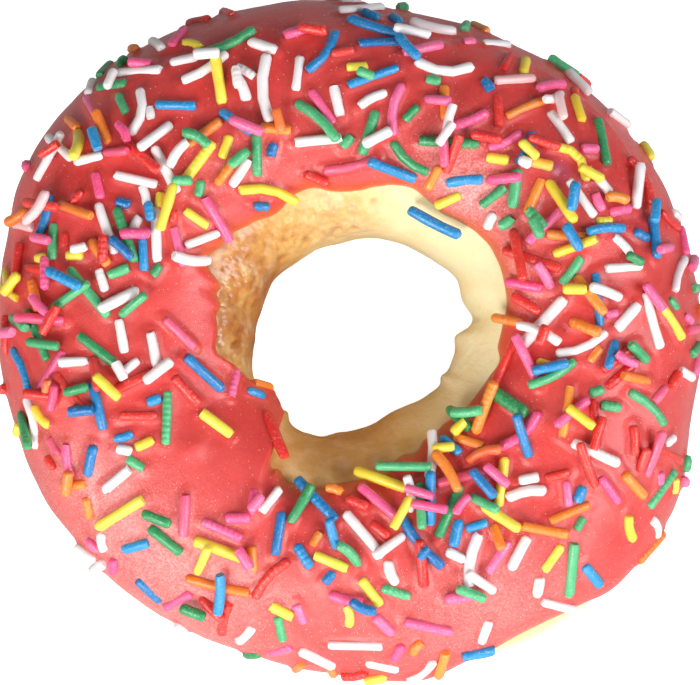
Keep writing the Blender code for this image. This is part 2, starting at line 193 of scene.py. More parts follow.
def wire(tree, kind, *inputs, options=None, named=None):
    """Adds a node, feeds its inputs with values or other nodes' outputs, and returns its first output."""
    node = tree.nodes.new(kind)
    for option, value in (options or {}).items():
        setattr(node, option, value)
    shown = [socket for socket in node.inputs if socket.enabled]
    fed = [*zip(shown, inputs), *((node.inputs[name], value) for name, value in (named or {}).items())]
    for socket, value in fed:
        if isinstance(value, bpy.types.NodeSocket):
            tree.links.new(value, socket)
        elif value is not None:
            socket.default_value = value
    return next((socket for socket in node.outputs if socket.enabled), None)


def reckon(tree, sum_kind, *values):
    return wire(tree, "ShaderNodeMath", *values, options={"operation": sum_kind})


def read_mask(tree, name):
    """What a mesh holds under this name, inside a Geometry Nodes tree."""
    return wire(tree, "GeometryNodeInputNamedAttribute", name, options={"data_type": "FLOAT"})


def noise_between(tree, size, low, high, detail=2.0, vector=None):
    """A soft random value from low to high, in patches about as large as size."""
    scale = reckon(tree, "DIVIDE", 1.0, size)
    grain = wire(tree, "ShaderNodeTexNoise", vector, named={"Scale": scale, "Detail": detail})
    return wire(tree, "ShaderNodeMapRange", grain, 0.25, 0.75, low, high)


def new_tree(name, inputs):
    """An empty Geometry Nodes tree with these named inputs: what each is called, its kind and its value."""
    tree = bpy.data.node_groups.new(name, "GeometryNodeTree")
    tree.interface.new_socket("Geometry", in_out="INPUT", socket_type="NodeSocketGeometry")
    for label, kind, value in inputs:
        socket = tree.interface.new_socket(label, in_out="INPUT", socket_type="NodeSocket" + kind)
        if value is not None:
            socket.default_value = value
    tree.interface.new_socket("Geometry", in_out="OUTPUT", socket_type="NodeSocketGeometry")
    return tree, tree.nodes.new("NodeGroupInput").outputs, tree.nodes.new("NodeGroupOutput").inputs


def run_tree(obj, tree, **settings):
    """Runs a Geometry Nodes tree on an object and keeps the result as its plain mesh."""
    modifier = obj.modifiers.new(tree.name, "NODES")
    modifier.node_group = tree
    for item in tree.interface.items_tree:
        if item.in_out == "INPUT" and item.name in settings:
            modifier[item.identifier] = settings[item.name]
    graph = bpy.context.evaluated_depsgraph_get()
    made = bpy.data.meshes.new_from_object(
        obj.evaluated_get(graph), preserve_all_data_layers=True, depsgraph=graph
    )
    obj.modifiers.remove(modifier)
    obj.data = made
    made.name = obj.name


def crumb_tree():
    """Raises crumb where the dough is torn and fine blisters all over, and sinks pores into it."""
    tree, given, out = new_tree("crumb", (
        ("Torn Size", "Float", 1.5 * MM), ("Torn Height", "Float", 0.5 * MM),
        ("Blister Size", "Float", 2.4 * MM), ("Blister Height", "Float", 0.16 * MM),
        ("Pore Spacing", "Float", 2.2 * MM), ("Pore Depth", "Float", 0.4 * MM), ("Dough", "Material", None),
    ))
    torn = read_mask(tree, "torn")
    skin = read_mask(tree, "skin")
    folds = noise_between(tree, given["Torn Size"], -1.0, 1.0, detail=3.0)
    ridges = reckon(tree, "SUBTRACT", 0.45, reckon(tree, "ABSOLUTE", folds))
    crumb = reckon(tree, "MULTIPLY", reckon(tree, "MULTIPLY", ridges, given["Torn Height"]), torn)
    blisters = noise_between(tree, given["Blister Size"], -0.5, 0.5, detail=4.0)
    blisters = reckon(tree, "MULTIPLY", blisters, reckon(tree, "MULTIPLY", given["Blister Height"], skin))
    cells = wire(
        tree, "ShaderNodeTexVoronoi", named={"Scale": reckon(tree, "DIVIDE", 1.0, given["Pore Spacing"])}
    )
    pit = wire(tree, "ShaderNodeMapRange", cells, 0.34, 0.06, 0.0, 1.0)
    chosen = wire(tree, "ShaderNodeSeparateXYZ", cells.node.outputs["Color"])
    wanted = wire(tree, "ShaderNodeMapRange", torn, 0.0, 0.5, -0.02, 0.5)
    pit = reckon(tree, "MULTIPLY", pit, reckon(tree, "LESS_THAN", chosen, wanted))
    pit = reckon(tree, "MULTIPLY", pit, skin)
    sunk = reckon(tree, "MULTIPLY", pit, given["Pore Depth"])
    height = reckon(tree, "SUBTRACT", reckon(tree, "ADD", crumb, blisters), sunk)
    offset = wire(
        tree, "ShaderNodeVectorMath", wire(tree, "GeometryNodeInputNormal"), options={"operation": "SCALE"},
        named={"Scale": height},
    )
    marked = wire(
        tree, "GeometryNodeStoreNamedAttribute", given["Geometry"], None, "pit", pit,
        options={"data_type": "FLOAT", "domain": "POINT"},
    )
    moved = wire(tree, "GeometryNodeSetPosition", marked, None, None, offset)
    whole = wire(tree, "GeometryNodeRealizeInstances", moved)
    tree.links.new(wire(tree, "GeometryNodeSetMaterial", whole, None, given["Dough"]), out["Geometry"])
    return tree


def colour(red, green, blue):
    """A colour as a screen shows it, from 0 to 255, in the linear light that materials use."""
    return (*(((v / 255 + 0.055) / 1.055) ** 2.4 for v in (red, green, blue)), 1.0)


def grain_group():
    """Soft random patches of a given size, as a mask from 0 to 1, for colours and for relief."""
    group = bpy.data.node_groups.new("grain", "ShaderNodeTree")
    for label, value in (("Size", MM), ("Detail", 3.0), ("Contrast", 1.0)):
        socket = group.interface.new_socket(label, in_out="INPUT", socket_type="NodeSocketFloat")
        socket.default_value = value
    group.interface.new_socket("Mask", in_out="OUTPUT", socket_type="NodeSocketFloat")
    given = group.nodes.new("NodeGroupInput").outputs
    place = wire(group, "ShaderNodeTexCoord").node.outputs["Object"]
    scale = reckon(group, "DIVIDE", 1.0, given["Size"])
    cloud = wire(group, "ShaderNodeTexNoise", place, named={"Scale": scale, "Detail": given["Detail"]})
    spread = reckon(group, "MULTIPLY", reckon(group, "SUBTRACT", cloud, 0.5), given["Contrast"])
    mask = group.nodes.new("ShaderNodeMath")
    mask.operation = "ADD"
    mask.use_clamp = True
    group.links.new(spread, mask.inputs[0])
    mask.inputs[1].default_value = 0.5
    group.links.new(mask.outputs[0], group.nodes.new("NodeGroupOutput").inputs["Mask"])
    return group


GRAIN = grain_group()


def grain(tree, size, detail=3.0, contrast=3.0):
    return wire(tree, "ShaderNodeGroup", size, detail, contrast, options={"node_tree": GRAIN})


def blend(tree, share, first, second):
    """Mixes two colours."""
    return wire(tree, "ShaderNodeMix", share, first, second, options={"data_type": "RGBA"})


def remap(tree, value, low, high, to_low=0.0, to_high=1.0):
    return wire(tree, "ShaderNodeMapRange", value, low, high, to_low, to_high)


def mask_of(tree, name):
    """What a mesh holds under this name, inside a material."""
    return wire(tree, "ShaderNodeAttribute", options={"attribute_name": name}).node.outputs["Fac"]


def relief(tree, distance, height, normal=None, strength=1.0):
    return wire(tree, "ShaderNodeBump", named={
        "Strength": strength, "Distance": distance, "Height": height, "Normal": normal,
    })


def finish_of(name, **values):
    """A material with a Principled surface, and its tree."""
    material = bpy.data.materials.new(name)
    material.use_nodes = True
    surface = material.node_tree.nodes["Principled BSDF"]
    for label, value in values.items():
        surface.inputs[label.replace("_", " ")].default_value = value
    return material, material.node_tree, surface.inputs


def feed(tree, **links):
    surface = tree.nodes["Principled BSDF"].inputs
    for label, value in links.items():
        tree.links.new(value, surface[label.replace("_", " ")])


def dough_finish():
    """Fried dough: cream to golden to brown, moist and darker where it is torn, with a fine greasy skin."""
    material, tree, _ = finish_of(
        "fried_dough", Subsurface_Weight=0.35, Subsurface_Radius=(1.6, 0.8, 0.35), Subsurface_Scale=MM,
        IOR=1.42, Coat_Roughness=0.14,
    )
    brown_and_shade, torn, pit = (mask_of(tree, name) for name in ("brown_and_shade", "torn", "pit"))
    patches = grain(tree, 6 * MM, 3.0, 1.6)
    # From cream to brown by the mask of browning, which in the hole also holds painted shade
    mottled = reckon(tree, "ADD", brown_and_shade, remap(tree, patches, 0.0, 1.0, -0.14, 0.14))
    shade = blend(tree, remap(tree, mottled, 0.0, 0.45), colour(255, 244, 198), colour(246, 206, 128))
    shade = blend(tree, remap(tree, mottled, 0.4, 1.0), shade, colour(172, 98, 42))
    moist = blend(tree, grain(tree, 1.6 * MM, 3.0, 3.0), colour(174, 104, 44), colour(226, 176, 102))
    shade = blend(tree, reckon(tree, "MULTIPLY", torn, 0.6), shade, moist)
    cloud = remap(tree, grain(tree, 2.6 * MM, 4.0, 2.4), 0.5, 1.0, 0.0, 0.3)
    shade = blend(tree, cloud, shade, colour(255, 240, 200))
    # The pores are painted darker brown: a painted shade in them
    shade = blend(tree, reckon(tree, "MULTIPLY", pit, 0.5), shade, colour(166, 98, 44))
    uneven = remap(tree, patches, 0.0, 1.0, -0.05, 0.05)
    gloss = reckon(tree, "ADD", remap(tree, torn, 0.0, 1.0, 0.52, 0.3), uneven)
    fine = relief(tree, 0.025 * MM, grain(tree, 0.35 * MM, 3.0, 2.0))
    feed(tree, Base_Color=shade, Roughness=gloss, Coat_Weight=reckon(tree, "MULTIPLY", torn, 0.7),
         Normal=relief(tree, 0.1 * MM, grain(tree, 1.3 * MM, 4.0, 1.6), fine))
    return material


def make_dough():
    shown = np.linspace(SHOWN_FROM_DEG, SHOWN_TO_DEG, SHOWN_STEPS, endpoint=False)
    hidden = np.linspace(SHOWN_TO_DEG, SHOWN_FROM_DEG + 360, HIDDEN_STEPS, endpoint=False)
    rolls = np.radians(np.sort(np.concatenate([shown, hidden]) % 360))

    def point(turn, step):
        return above_dough(turn, rolls[step], tears(turn, rolls[step]))

    ring, turn, step = closed_ring("dough_ring", DOUGH_AROUND, len(rolls), point)
    roll = rolls[step]
    height = ring_form(turn, roll)[:, 2]
    low = 1 - ease(height, *BROWN_HEIGHTS)
    band = np.exp(-(((height - PALE_BAND[0]) / PALE_BAND[1]) ** 2))
    outside = BROWN_OUTSIDE + BROWN_LOW_OUTSIDE * low - PALER_IN_BAND * band
    # The hole's wall is browner partly from frying and partly as painted shade where it faces away from the
    # key light
    inside = BROWN_INSIDE + swell(turn, BROWN_AND_SHADE_ROUND_HOLE) + BROWN_LOW_INSIDE * low
    brown_and_shade = np.clip(inside + (outside - inside) * ease(np.cos(roll), -0.3, 0.3), 0, 1)
    wall = np.clip(np.abs(np.degrees(roll) - TORN_ON_WALL[0]) / TORN_ON_WALL[1], 0, 1)
    torn = np.clip(swell(turn, TORN_ROUND_RING), 0, 1) * np.cos(wall * np.pi / 2) ** 2
    keep_mask(ring.data, "brown_and_shade", brown_and_shade)
    keep_mask(ring.data, "torn", np.clip(torn * TORN_STRENGTH, 0, 1))
    keep_mask(ring.data, "skin", ease(height, BASE_SKIN_HEIGHT, LEVEL_BASE_HEIGHT))
    run_tree(ring, crumb_tree(), Dough=dough_finish())
    return ring


dough = make_dough()
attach(dough, "root")
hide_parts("dough")

# The icing
# A skin of coral-pink sugar icing over the top, where the ring was dipped and turned over. It ends in a crisp
# lip on the left of the hole and runs out thin and orange on the lower right, and it dried with a fine bloom
# in its gloss. A pale highlight is painted on it where the lights shine back.

ICING_GAP = 0.6 * MM
ICING_THICKNESS = 1.2 * MM
ICING_SUNK = 0.15 * MM
OUTER_EDGE_DEG = -11
OUTER_DRIPS = (
    (18, -7, 16), (48, 5, 15), (78, -12, 17), (104, 4, 12), (132, -7, 16), (166, -11, 15),
    (192, 4, 13), (218, 15, 18), (244, -3, 12), (272, 9, 14), (303, 35, 30), (340, -8, 18),
)
INNER_EDGE_DEG = 126
INNER_DRIPS = (
    (2, 3, 12), (30, -5, 25), (70, -6, 20), (107, -5, 14), (143, -6, 22), (152, -5, 8),
    (176, 4, 20), (214, 42, 32), (250, -13, 22), (270, -6, 22), (325, 8, 42),
)
# What the icing's edge adds to those drips where it is looked at closely
FINE_OUTER_DRIPS = ((8, 3, 5), (60, -4, 6), (92, 3, 5), (150, 4, 6), (180, -4, 6), (231, 4, 5), (262, -4, 6),
                    (288, 4, 7), (316, -4, 6), (330, 4, 6))
FINE_INNER_DRIPS = ((158, 3, 4), (166, 3, 5), (192, 3, 5), (203, -6, 6), (228, 3, 4), (238, -8, 5),
                    (284, -4, 7), (300, -3, 6), (350, -3, 7))
WANDER_DEG = 1.1
WANDER_PER_TURN = 9
CRISP_ROUND_HOLE = ((186, 0.75, 42), (226, 0.7, 24), (120, 0.35, 40), (70, 0.25, 40))
CRISP_ROUND_RIM = ((40, 0.6, 60), (160, 0.6, 60), (250, 0.4, 40))
THIN_LIP, CRISP_LIP = 5.0 * MM, 1.3 * MM
LIP_BEAD = ((184, 0.35, 40), (232, 0.3, 18))
LIP_BEAD_REACH = 0.8 * MM
SECTION_RADIUS = 14.7 * MM

# A thin run of icing that overlaps the rim at the upper right, in degrees round the ring and the section
LEDGE_TURNS = (28, 36, 58, 66)
LEDGE_ROLL_DEG = 33
LEDGE_SOFT_DEG = 1.5
LEDGE_DROP = 0.4 * MM
# Bubbles and grains under the skin: x, y, reach and height in mm
ICING_BUMPS = (
    (-20.1, -14.3, 1.5, 0.4), (-17.5, -10.2, 1.2, 0.2), (-12.8, -22.6, 1.0, 0.35), (9.5, -15.6, 1.3, 0.2),
    (-26.0, 2.0, 1.6, -0.2), (-13.0, 21.0, 1.4, 0.15), (26.0, -30.0, 1.8, 0.25), (36.0, -14.0, 1.5, 0.2),
    (-36.0, -2.0, 1.6, 0.2), (31.0, 26.0, 1.6, 0.2), (-6.0, 28.5, 1.4, -0.15), (14.5, 21.0, 1.5, 0.2),
)

# Where a blue dye ran in the wet icing: x, y, heading, half its length, half its width and how strong
STAINS = ((25.4, 21.2, -28, 3.4, 1.1, 0.9), (30.8, 17.6, -45, 2.4, 0.9, 0.5), (29.0, 23.5, 10, 1.6, 1.0, 0.3))
# Where a pale highlight is painted on it, on the slopes that face the lights, given in the same way
PAINTED_SHEENS = (
    (14.5, 19.5, -50, 7.0, 4.5, 0.9), (21.5, 7.5, -80, 4.5, 3.0, 0.6), (-22.0, -28.5, -38, 15.0, 7.5, 0.6),
    (16.0, -33.0, 15, 13.0, 6.0, 0.35), (-14.0, 22.0, 20, 9.0, 3.5, 0.25), (-34.0, -17.0, -60, 8.0, 4.0, 0.3),
)

ICING_AROUND = 640
ICING_OVER = 128
ICING_UNDER = 12


def icing_edges(turn):
    """Where the icing ends round the section, on the outer side and in the hole."""
    outer = OUTER_EDGE_DEG + swell(turn, OUTER_DRIPS)
    inner = INNER_EDGE_DEG + swell(turn, INNER_DRIPS)
    return np.radians(outer), np.radians(inner)


def icing_top(turn, roll):
    """Points on the icing's upper side, away from its edges."""
    return above_dough(turn, roll, ICING_GAP + ICING_THICKNESS)


def wandering(turn, start):
    """A small random angle that changes smoothly round the ring."""
    ways = np.stack([np.cos(turn), np.sin(turn), np.full_like(turn, start)], axis=-1)
    return np.radians(WANDER_DEG) * np.array([noise.noise(Vector(way) * WANDER_PER_TURN) for way in ways])


def fine_edges(turn):
    """Where the icing ends, with its small drips."""
    outer, inner = icing_edges(turn)
    outer = outer + np.radians(swell(turn, FINE_OUTER_DRIPS)) + wandering(turn, 1.0)
    inner = inner + np.radians(swell(turn, FINE_INNER_DRIPS)) + wandering(turn, 2.0)
    return outer, inner


def lip(away, crisp):
    """The share of its full thickness that the icing has at a distance from its edge."""
    share = np.clip(away / (THIN_LIP + (CRISP_LIP - THIN_LIP) * crisp), 0, 1)
    thin, rounded = share**0.8 * (1.6 - 0.6 * share), np.sqrt(1 - (1 - share) ** 2)
    return thin + (rounded - thin) * crisp


def icing_lift(turn, roll, outer, inner):
    """How far the icing's surface lies above the dough, and how full its thickness is there."""
    crisp_inner = np.clip(swell(turn, CRISP_ROUND_HOLE), 0, 1)
    crisp_outer = np.clip(swell(turn, CRISP_ROUND_RIM), 0, 1)
    from_inner = (inner - roll) * SECTION_RADIUS
    full = lip((roll - outer) * SECTION_RADIUS, crisp_outer) * lip(from_inner, crisp_inner)
    lift = -ICING_SUNK + (ICING_GAP + ICING_THICKNESS + ICING_SUNK) * full
    bead = swell(turn, LIP_BEAD) * MM * np.exp(-(((from_inner - CRISP_LIP) / LIP_BEAD_REACH) ** 2))
    degrees = np.degrees(turn) % 360
    along = ease(degrees, *LEDGE_TURNS[:2]) * (1 - ease(degrees, *LEDGE_TURNS[2:]))
    beyond = 1 - ease(np.degrees(roll), LEDGE_ROLL_DEG - LEDGE_SOFT_DEG, LEDGE_ROLL_DEG + LEDGE_SOFT_DEG)
    return lift + bead * full - LEDGE_DROP * along * beyond * full, full, along * beyond


def soft_relief_tree():
    """Gives the icing the low waves it set in, and small dimples."""
    tree, given, out = new_tree("set_waves", (
        ("Wave Size", "Float", 8 * MM), ("Wave Height", "Float", 0.3 * MM),
        ("Dimple Size", "Float", 1.6 * MM), ("Dimple Height", "Float", 0.05 * MM),
        ("Icing", "Material", None),
    ))
    waves = noise_between(tree, given["Wave Size"], -0.5, 0.5, detail=1.0)
    dimples = noise_between(tree, given["Dimple Size"], -0.5, 0.5, detail=2.0)
    height = reckon(
        tree, "ADD", reckon(tree, "MULTIPLY", waves, given["Wave Height"]),
        reckon(tree, "MULTIPLY", dimples, given["Dimple Height"]),
    )
    height = reckon(tree, "MULTIPLY", height, read_mask(tree, "full"))
    offset = wire(
        tree, "ShaderNodeVectorMath", wire(tree, "GeometryNodeInputNormal"), options={"operation": "SCALE"},
        named={"Scale": height},
    )
    moved = wire(tree, "GeometryNodeSetPosition", given["Geometry"], None, None, offset)
    whole = wire(tree, "GeometryNodeRealizeInstances", moved)
    tree.links.new(wire(tree, "GeometryNodeSetMaterial", whole, None, given["Icing"]), out["Geometry"])
    return tree


def icing_finish():
    """Sugar icing: coral pink, orange where it is thin, and pale where a highlight is painted on it."""
    material, tree, _ = finish_of(
        "pink_icing", Subsurface_Weight=0.6, Subsurface_Radius=(1.6, 0.3, 0.25), Subsurface_Scale=MM,
        IOR=1.48, Coat_IOR=1.5, Coat_Roughness=0.3,
    )
    thin, bled, worn, painted_sheen = (mask_of(tree, name) for name in ("thin", "bled", "worn", "painted_sheen"))
    patches = grain(tree, 8 * MM, 2.0, 2.0)
    shade = blend(tree, patches, colour(214, 56, 53), colour(228, 75, 70))
    fleck = remap(tree, grain(tree, 0.5 * MM, 2.0, 3.0), 0.3, 1.0, 0.0, 0.25)
    shade = blend(tree, fleck, shade, colour(230, 98, 93))
    shade = blend(tree, reckon(tree, "MULTIPLY", worn, 0.3), shade, colour(236, 120, 116))
    # A painted highlight, finely speckled, in the patches where the lights shine back off the icing
    sheen_paint = remap(tree, grain(tree, 0.3 * MM, 3.0, 3.0), 0.2, 0.9, 0.25, 1.0)
    sheen_paint = reckon(tree, "MULTIPLY", reckon(tree, "MULTIPLY", sheen_paint, painted_sheen), 0.65)
    shade = blend(tree, sheen_paint, shade, colour(255, 214, 210))
    edge = remap(tree, thin, 0.15, 0.9, 0.0, 0.92)
    shade = blend(tree, edge, shade, colour(228, 118, 60))
    shade = blend(tree, reckon(tree, "MULTIPLY", bled, 0.6), shade, colour(118, 74, 124))
    crystals = grain(tree, 0.2 * MM, 2.0, 3.0)
    bloom = grain(tree, 6 * MM, 3.0, 3.0)
    gloss = remap(tree, bloom, 0.0, 1.0, 0.34, 0.5)
    sparkle = relief(tree, 0.018 * MM, crystals)
    normal = relief(tree, 0.02 * MM, grain(tree, 1.0 * MM, 3.0, 1.5), sparkle)
    feed(tree, Base_Color=shade, Roughness=gloss, Normal=normal, Coat_Normal=sparkle,
         Coat_Weight=remap(tree, bloom, 0.2, 0.9, 0.4, 0.85))
    return material


def make_icing():
    section = ICING_OVER + ICING_UNDER

    def place_on(turn, step):
        outer, inner = fine_edges(turn)
        over = step / ICING_OVER
        share = np.where(
            over <= 1, (over + (1 - np.cos(over * np.pi)) / 2) / 2, (section - step) / ICING_UNDER
        )
        return outer, inner, outer + (inner - outer) * share, over <= 1

    def point(turn, step):
        outer, inner, roll, on_top = place_on(turn, step)
        lift = np.where(on_top, icing_lift(turn, roll, outer, inner)[0], -ICING_SUNK)
        smooth = above_dough(turn, roll, 0)
        for x, y, reach, height in ICING_BUMPS:
            near = ((smooth[:, 0] / MM - x) ** 2 + (smooth[:, 1] / MM - y) ** 2) / reach**2
            lift = lift + height * MM * np.exp(-near) * on_top
        return smooth + ring_directions(turn, roll)[2] * lift[:, None]

    skin, turn, step = closed_ring("icing_skin", ICING_AROUND, section, point)
    outer, inner, roll, on_top = place_on(turn, step)
    _, full, worn = icing_lift(turn, roll, outer, inner)
    keep_mask(skin.data, "full", full * on_top)
    keep_mask(skin.data, "thin", 1 - full)
    keep_mask(skin.data, "worn", worn)
    x, y, _ = (above_dough(turn, roll, 0) / MM).T
    for name, marks in (("bled", STAINS), ("painted_sheen", PAINTED_SHEENS)):
        strong = np.zeros_like(turn)
        for middle_x, middle_y, heading, long, wide, strength in marks:
            heading = math.radians(heading)
            ahead = (x - middle_x) * math.cos(heading) + (y - middle_y) * math.sin(heading)
            aside = (y - middle_y) * math.cos(heading) - (x - middle_x) * math.sin(heading)
            strong += strength * np.exp(-((ahead / long) ** 2) - (aside / wide) ** 2)
        keep_mask(skin.data, name, strong * on_top)
    run_tree(skin, soft_relief_tree(), Icing=icing_finish())
    return skin


icing = make_icing()
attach(icing, "root")
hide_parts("icing")

# The sprinkles
# Rods of coloured sugar paste, pressed out as strings, broken when dry and polished in a drum. They were
# thrown on while the icing was wet, so they lie sunk in it or across each other, and it rose round each.

SPRINKLE_RADIUS = 0.66 * MM
GIRTHS = (0.9, 1.1)
LENGTHS = ((2.3 * MM, 0.5 * MM, 0.25), (4.0 * MM, 0.7 * MM, 0.48), (6.0 * MM, 0.9 * MM, 0.27))
SHORTEST, LONGEST = 1.7 * MM, 8.4 * MM
BURIED = (0.18, 0.42)
BENT_SHARE = 0.25
MOST_BEND = 0.12
SPRINKLE_COUNT = 475
SPRINKLE_SEED = 23
COLOURS = ("white", "pink", "red", "orange", "yellow", "green", "blue")
COLOUR_SHARES = (0.17, 0.17, 0.16, 0.14, 0.11, 0.14, 0.11)
EDGE_MARGIN_DEG = 6
PLACES = 60000
TRIES = 160
PILED_SHARE = 0.45
LEVEL_ENOUGH = 0.45
STEEPEST_LEAN = 0.5
LEAN_OVERLAP = 0.08
MOST_OVERLAP = 0.2

# Where the sprinkles lie thin and where they lie thick: x, y and reach in mm, and how much
MOST_CROWDED = 3.0
BARE_PATCHES = (
    (-21, 3, 5.5, 0.97), (-16, -15, 7.0, 0.95), (-15, -21, 4.0, 0.8), (-40, 20, 6.0, 0.85),
    (-43, -12, 5.0, 0.7), (-9, 42, 5.0, 0.6), (12, 20, 5.0, 0.6), (17, 17, 5.0, 0.6), (37, 28, 6.0, 0.95),
    (42, 20, 5.0, 0.8), (42, -8, 6.0, 0.9), (22, -36, 7.0, 0.97), (31, -31, 6.0, 0.8), (10, -35, 5.0, 0.75),
    (-22, -33, 5.0, 0.5), (-35, -22, 4.5, 0.7), (-10, 22, 4.0, 0.4),
)
PILES = (
    (-29, 27, 8, 1.2), (-29, 15, 8, 1.5), (-35, 8, 6, 0.9), (3, 37, 6, 0.6), (10, 30, 7, 0.4),
    (23, 28, 6, 0.8), (29, 18, 8, 1.1), (28, 0, 8, 1.1), (35, -4, 5, 0.9), (22, -10, 6, 0.9),
    (3, -24, 9, 0.7), (13, -24, 7, 0.5), (-16, -29, 6, 0.6), (-35, -9, 7, 0.7), (41, -17, 5, 1.2),
    (-3, -40, 6, 0.5),
)

# The sprinkles that stand out, each listed: x, y, heading in degrees, length and bend in mm, girth, colour
MARKED_SPRINKLES = (
    (-10.4, 31.6, 88, 8.8, -0.8, 1.1, "white"), (19.7, -8.2, -33, 6.3, 0.0, 1.4, "green"),
    (3.0, 39.4, -27, 7.0, 0.3, 1.1, "blue"), (12.0, 34.6, -3, 7.2, 1.3, 1.05, "white"),
    (12.5, 24.4, -7, 7.6, 0.0, 1.05, "green"), (27.6, 21.9, -44, 6.2, -1.6, 0.95, "yellow"),
    (36.7, 20.0, -60, 6.4, -1.2, 1.0, "red"), (38.6, 12.8, 84, 5.6, 0.0, 1.1, "blue"),
    (28.1, -29.4, -86, 7.2, 0.0, 1.1, "green"), (-18.5, -4.5, -36, 6.4, 0.0, 1.05, "blue"),
    (10.0, -14.9, 87, 6.7, 0.4, 1.05, "white"), (-33.2, 5.6, -49, 8.0, 0.0, 0.95, "green"),
    (-15.6, 37.5, 37, 7.3, 0.5, 1.0, "green"), (-3.7, 36.2, 60, 6.6, 0.7, 1.0, "blue"),
    (-16.6, -27.0, -26, 6.9, 0.0, 1.15, "yellow"), (10.6, 14.7, -31, 7.3, 0.2, 1.05, "blue"),
    (-16.8, -31.4, -17, 8.2, 0.2, 0.95, "orange"), (22.9, 9.7, -18, 7.8, 0.0, 1.0, "red"),
    (1.8, -25.0, -50, 7.4, 0.0, 1.0, "white"), (9.1, -26.0, -53, 8.3, 0.5, 1.0, "blue"),
    (8.9, -21.4, -89, 6.1, 0.0, 0.95, "green"), (24.3, 1.7, 47, 8.0, 0.0, 1.2, "white"),
    (-27.4, 28.6, 86, 6.2, 1.0, 1.0, "white"), (-30.9, 13.7, -72, 6.8, 0.0, 1.0, "white"),
    (-28.5, 12.8, -73, 7.2, 0.0, 1.0, "green"), (-18.6, 25.8, 40, 5.5, 0.0, 1.0, "orange"),
    (-11.7, 22.8, 90, 5.4, 0.0, 1.0, "green"), (-4.0, 24.7, 9, 5.9, 0.0, 1.05, "white"),
    (-10.3, 17.6, -14, 7.6, -1.0, 1.0, "yellow"), (27.9, 12.7, -4, 6.1, 0.0, 1.0, "orange"),
    (22.4, -3.3, -63, 7.3, 0.0, 1.0, "pink"), (14.1, -17.7, 22, 6.8, 0.0, 1.0, "pink"),
    (-9.6, -12.5, -81, 6.9, 0.0, 1.05, "red"), (-32.0, -8.8, -77, 6.2, 0.0, 1.0, "blue"),
    (-23.4, -25.8, -44, 5.2, 0.0, 1.0, "green"), (24.7, -24.6, -13, 6.3, 0.0, 1.0, "orange"),
)

RINGS = 8
SIDES = 8
RIM_HEIGHT = 0.24 * MM
RIM_REACH = 0.34 * MM
LOOKS_SEED = 7
# The share of each colour that shows the cross ridges of its string, and the share with icing over it
RIDGED = {
    "white": 0.05, "pink": 0.12, "red": 0.25, "orange": 0.2, "yellow": 0.08, "green": 0.35, "blue": 0.35,
}
GLAZED = {"white": 0.06, "pink": 0.08, "red": 0.2, "orange": 0.1, "yellow": 0.05, "green": 0.0, "blue": 0.0}
RIDGE_STRENGTHS = (0.3, 1.0)
GLAZE_STRENGTHS = (0.2, 0.55)
RIDGE_SPACING = 0.75 * MM

Sprinkle = namedtuple("Sprinkle", "centre axis up length radius bend colour")
Rest = namedtuple("Rest", "place axis out slope curvature")


def crowding(x, y):
    """How thick the sprinkles lie at places seen from above, from 0 to about MOST_CROWDED."""
    thick = np.ones_like(x)
    for px, py, reach, more in PILES:
        thick += more * np.exp(-((x / MM - px) ** 2 + (y / MM - py) ** 2) / reach**2)
    for px, py, reach, less in BARE_PATCHES:
        thick *= 1 - less * np.exp(-(((x / MM - px) ** 2 + (y / MM - py) ** 2) / reach**2) ** 2)
    return thick


def rest_on_icing(turn, roll, heading):
    """How a rod lies at each place: its spot, its direction, and the icing's slope and curvature under it."""
    along, over, out = ring_directions(turn, roll)
    place = icing_top(turn, roll)
    axis = along * np.cos(heading)[:, None] + over * np.sin(heading)[:, None]
    probe = math.radians(PROBE_DEG)
    per_turn = np.linalg.norm(ring_form(turn + probe, roll) - ring_form(turn, roll), axis=-1) / probe
    per_roll = np.linalg.norm(ring_form(turn, roll + probe) - ring_form(turn, roll), axis=-1) / probe
    half = LENGTHS[1][0] / 2
    rises = []
    for way in (-half, half):
        end = icing_top(turn + way * np.cos(heading) / per_turn, roll + way * np.sin(heading) / per_roll)
        rises.append(np.sum((end - place) * out, axis=-1))
    slope = (rises[1] - rises[0]) / (2 * half)
    curvature = -(rises[0] + rises[1]) / half**2
    return Rest(place, axis, out, slope, curvature)


def lay_rod(rest, i, length, radius, buried):
    """The centre, axis and upward side of a rod that lies at the i-th place, sunk in by its buried share."""
    axis = unit(rest.axis[i] + rest.out[i] * rest.slope[i])
    up = unit(rest.out[i] - axis * rest.out[i].dot(axis))
    return rest.place[i] + up * (radius * (1 - 2 * buried) - rest.curvature[i] * length**2 / 16), axis, up


def rod_gaps(centre, axis, half, laid):
    """From a rod's centre line to those laid before: distances, vectors across, and where along this rod."""
    centres = np.array([s.centre for s in laid])
    axes = np.array([s.axis for s in laid])
    halves = np.array([s.length / 2 - s.radius for s in laid])
    apart = centre - centres
    slant = axes @ axis
    own, other = apart @ axis, np.einsum("ij,ij->i", apart, axes)
    s = np.clip((slant * other - own) / np.maximum(1 - slant**2, 1e-6), -half, half)
    t = np.clip(other + s * slant, -halves, halves)
    s = np.clip(t * slant - own, -half, half)
    between = centre + s[:, None] * axis - centres - t[:, None] * axes
    return np.linalg.norm(between, axis=1), between, s


def lean_on(centre, axis, up, half, reach, laid):
    """Lifts a rod that crosses others until it rests on them, or returns None where it can't."""
    gaps, between, s = rod_gaps(centre, axis, half, laid)
    crossed = gaps < reach
    lift = (1 - LEAN_OVERLAP) * reach[crossed] - between[crossed] @ up
    s = s[crossed]
    if s.min() * s.max() > 0:
        far_end = -half if s.min() > 0 else half
        slopes = lift / (s - far_end)
        slope = slopes[np.argmax(np.abs(slopes))]
        if abs(slope) > STEEPEST_LEAN:
            return None
        centre = centre - up * slope * far_end
        axis = unit(axis + up * slope)
    else:
        centre = centre + up * lift.max()
    if (rod_gaps(centre, axis, half, laid)[0] < (1 - MOST_OVERLAP) * reach).any():
        return None
    return centre, axis, unit(up - axis * up.dot(axis))


